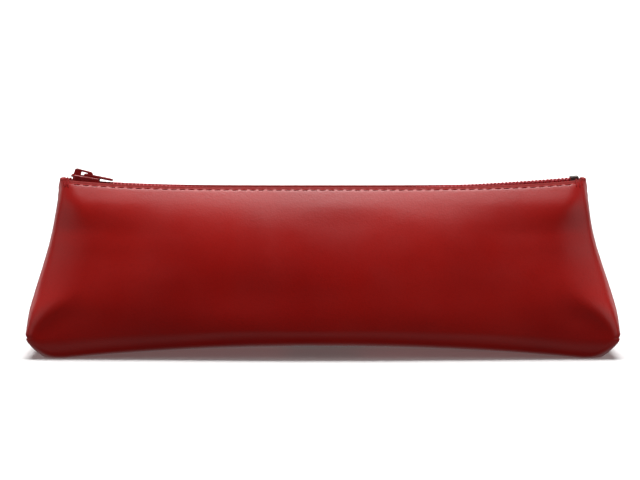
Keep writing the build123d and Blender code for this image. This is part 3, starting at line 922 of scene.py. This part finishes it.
def tack_piece(word, end):
    """Threads sewn over the rim at an end of the mouth: bunched on the left, open on the right."""
    parts = []
    gap, number = LEFT_TACK if end < 0 else RIGHT_TACK
    half = SKIVED / 2 + 0.1
    rise = np.linspace(-1, 0, 9)
    over = np.radians(np.linspace(15, 165, 9))
    for side in (-1, 1):
        for n in range(number):
            x = end * (TACK_START - n * gap) + 0.12 * (n % 2)
            reach = TACK_REACH + 0.35 * ((n * 2) % 3)
            outside = sewn(np.full(len(rise), x), TOP_Z + reach * rise, 0.12 - 0.7 * np.abs(rise) ** 8)
            top = outside[-1]
            turned = [top + (0, half - half * math.cos(t), 0.75 * half * math.sin(t)) for t in over]
            inside = [turned[-1] + (0, 0.05, -0.4), turned[-1] + (0, 0.05, -0.9)]
            path = np.array(list(outside) + turned + inside)
            parts.append(tube(mirrored(path, side), THREAD_RADIUS, 9, **THREAD_PLY))
    points, faces = gather(parts)
    piece = mesh_piece(word + "_tack", points, faces, [thread])
    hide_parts(word + "_bar_tack")
    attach(piece, "pouch")


# ---------------------------------------------------------------- castings
SHARP_ANGLE = math.radians(28)  # edges sharper than this are rounded


def casting(node, name, body, bevel):
    """An enamelled copy of a CAD part with its edges rounded, as a casting's are."""
    mesh = frame["nodes"][node].data.copy()
    mesh.name = name
    made = bmesh.new()
    made.from_mesh(mesh)
    bmesh.ops.remove_doubles(made, verts=made.verts, dist=2e-6)
    bmesh.ops.dissolve_limit(made, angle_limit=math.radians(2), verts=made.verts, edges=made.edges)
    sharp = [e for e in made.edges if len(e.link_faces) == 2 and e.calc_face_angle() > SHARP_ANGLE]
    bmesh.ops.bevel(made, geom=sharp, offset=bevel * MM, segments=3, profile=0.5, affect="EDGES",
                    clamp_overlap=True)
    bmesh.ops.triangulate(made, faces=made.faces)
    made.to_mesh(mesh)
    made.free()
    mesh.materials.clear()
    mesh.materials.append(enamel)
    mesh.polygons.foreach_set("use_smooth", np.ones(len(mesh.polygons), bool))
    mesh.set_sharp_from_angle(angle=math.radians(50))
    piece = bpy.data.objects.new(name, mesh)
    bpy.context.scene.collection.objects.link(piece)
    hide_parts(node)
    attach(piece, body)


for word, side in (("front", -1), ("back", 1)):
    panel(word, side)
    coil_piece(word, side)
    cord_piece(word, side)
    coil_thread_piece(word, side)
    tape_piece(word, side)
    top_stitch_piece(word, side)
for word, end in (("left", -1), ("right", 1)):
    tack_piece(word, end)
casting("slider_body", "slider_casting", "slider", 0.13)
casting("pull_tab", "tab_casting", "tab", 0.12)

# These CAD parts are shown as they are, with a material of their own.
SEAMS = ("left_side_seam", "right_side_seam", "base_seam", "left_corner_seam", "right_corner_seam")
STOPS = ("front_top_stop", "back_top_stop", "bottom_stop")
for nodes, material in ((SEAMS, thread), (STOPS, metal)):
    for node in nodes:
        for slot in frame["nodes"][node].material_slots:
            slot.link = "OBJECT"
            slot.material = material

# ---------------------------------------------------------------- studio
FLOOR_HALF_WIDTH = 4.0
FLOOR_FRONT = -3.0
WALL_Y = 2.4
WALL_RADIUS = 0.9
WALL_TOP = 3.0
SWEEP_STEPS = 16
FLOOR_BOUNCE = 0.44  # brightness of the light that comes up off the floor
DIM_ROOM = 0.05  # brightness of the world from the floor's far edge upwards
FLOOR_GLOW = 0.07  # the light that a bright room leaves in the deepest shadow
UNDER_SHARE = 0.05  # the share of that light straight below the case, where the floor is in its shadow


def floor_piece():
    """A pale floor that sweeps up into a wall. It doesn't light the case: the world does that for it."""
    material, _, shader = new_material("pale_floor", (0.93, 0.93, 0.93), 0.6, Specular_IOR_Level=0.2,
                                       Emission_Strength=FLOOR_GLOW)
    shader.inputs["Emission Color"].default_value = (1, 1, 1, 1)
    line = [(FLOOR_FRONT, 0.0), (WALL_Y - WALL_RADIUS, 0.0)]
    for k in range(1, SWEEP_STEPS + 1):
        turn = k / SWEEP_STEPS * math.pi / 2
        y = WALL_Y - WALL_RADIUS + WALL_RADIUS * math.sin(turn)
        line.append((y, WALL_RADIUS * (1 - math.cos(turn))))
    line.append((WALL_Y, WALL_TOP))
    points = [(x / MM, y / MM, z / MM) for y, z in line for x in (-FLOOR_HALF_WIDTH, FLOOR_HALF_WIDTH)]
    floor = mesh_piece("floor", points, grid_faces(len(line), 2), [material])
    floor.visible_diffuse = False
    floor.visible_glossy = False


def softbox(name, place, target, wide, tall, power):
    """An area light at place, facing target."""
    light = bpy.data.lights.new(name, "AREA")
    light.shape = "RECTANGLE"
    light.size, light.size_y = wide, tall
    light.energy = power
    holder = bpy.data.objects.new(name, light)
    bpy.context.scene.collection.objects.link(holder)
    holder.location = place
    holder.rotation_mode = "QUATERNION"
    holder.rotation_quaternion = (Vector(target) - Vector(place)).to_track_quat("-Z", "Y")


floor_piece()
CASE_MIDDLE = (0, 0, 0.03)
softbox("overhead", (0, 0.34, 0.95), (0, 0.34, 0.0), 0.80, 1.18, 5.5)
sky_panel = bpy.data.lights.new("sky_panel", "SUN")
sky_panel.energy = 2.65
sky_panel.angle = math.radians(37)
panel_holder = bpy.data.objects.new("sky_panel", sky_panel)
panel_holder.rotation_euler = (math.radians(-8.5), 0, 0)
bpy.context.scene.collection.objects.link(panel_holder)
for name, end in (("left", -1), ("right", 1)):
    softbox(name + "_fill", (end * 1.25, -0.75, 0.55), CASE_MIDDLE, 1.3, 1.1, 3.6 + 0.7 * end)
    softbox(name + "_rim", (end * 0.80, 0.50, 0.30), CASE_MIDDLE, 0.35, 0.5, 1.1)
softbox("wall_light", (0, 0.95, 1.1), (0, 2.4, 0.85), 3.6, 1.0, 80.0)

# The world is white to the camera. To the case, it is the light off the floor and a dim room.
world = bpy.data.worlds.new("studio")
bpy.context.scene.world = world
world.use_nodes = True
tree = world.node_tree
sky = tree.nodes["Background"]
sky.inputs["Color"].default_value = (1, 1, 1, 1)
way = tree.nodes.new("ShaderNodeTexCoord")
parts = tree.nodes.new("ShaderNodeSeparateXYZ")
link(tree, way, "Generated", parts, "Vector")
bounce = spread_value(tree, parts, "Z", FLOOR_BOUNCE, DIM_ROOM, -0.75, -0.22)
under = spread_value(tree, parts, "Z", UNDER_SHARE, 1.0, -0.98, -0.62)
product = tree.nodes.new("ShaderNodeMath")
product.operation = "MULTIPLY"
link(tree, bounce, "Result", product, 0)
link(tree, under, "Result", product, 1)
link(tree, product, "Value", sky, "Strength")
seen = tree.nodes.new("ShaderNodeBackground")
seen.inputs["Color"].default_value = (0.97, 0.97, 0.97, 1)
ray = tree.nodes.new("ShaderNodeLightPath")
either = tree.nodes.new("ShaderNodeMixShader")
link(tree, ray, "Is Camera Ray", either, "Fac")
link(tree, sky, "Background", either, 1)
link(tree, seen, "Background", either, 2)
link(tree, either, "Shader", tree.nodes["World Output"], "Surface")
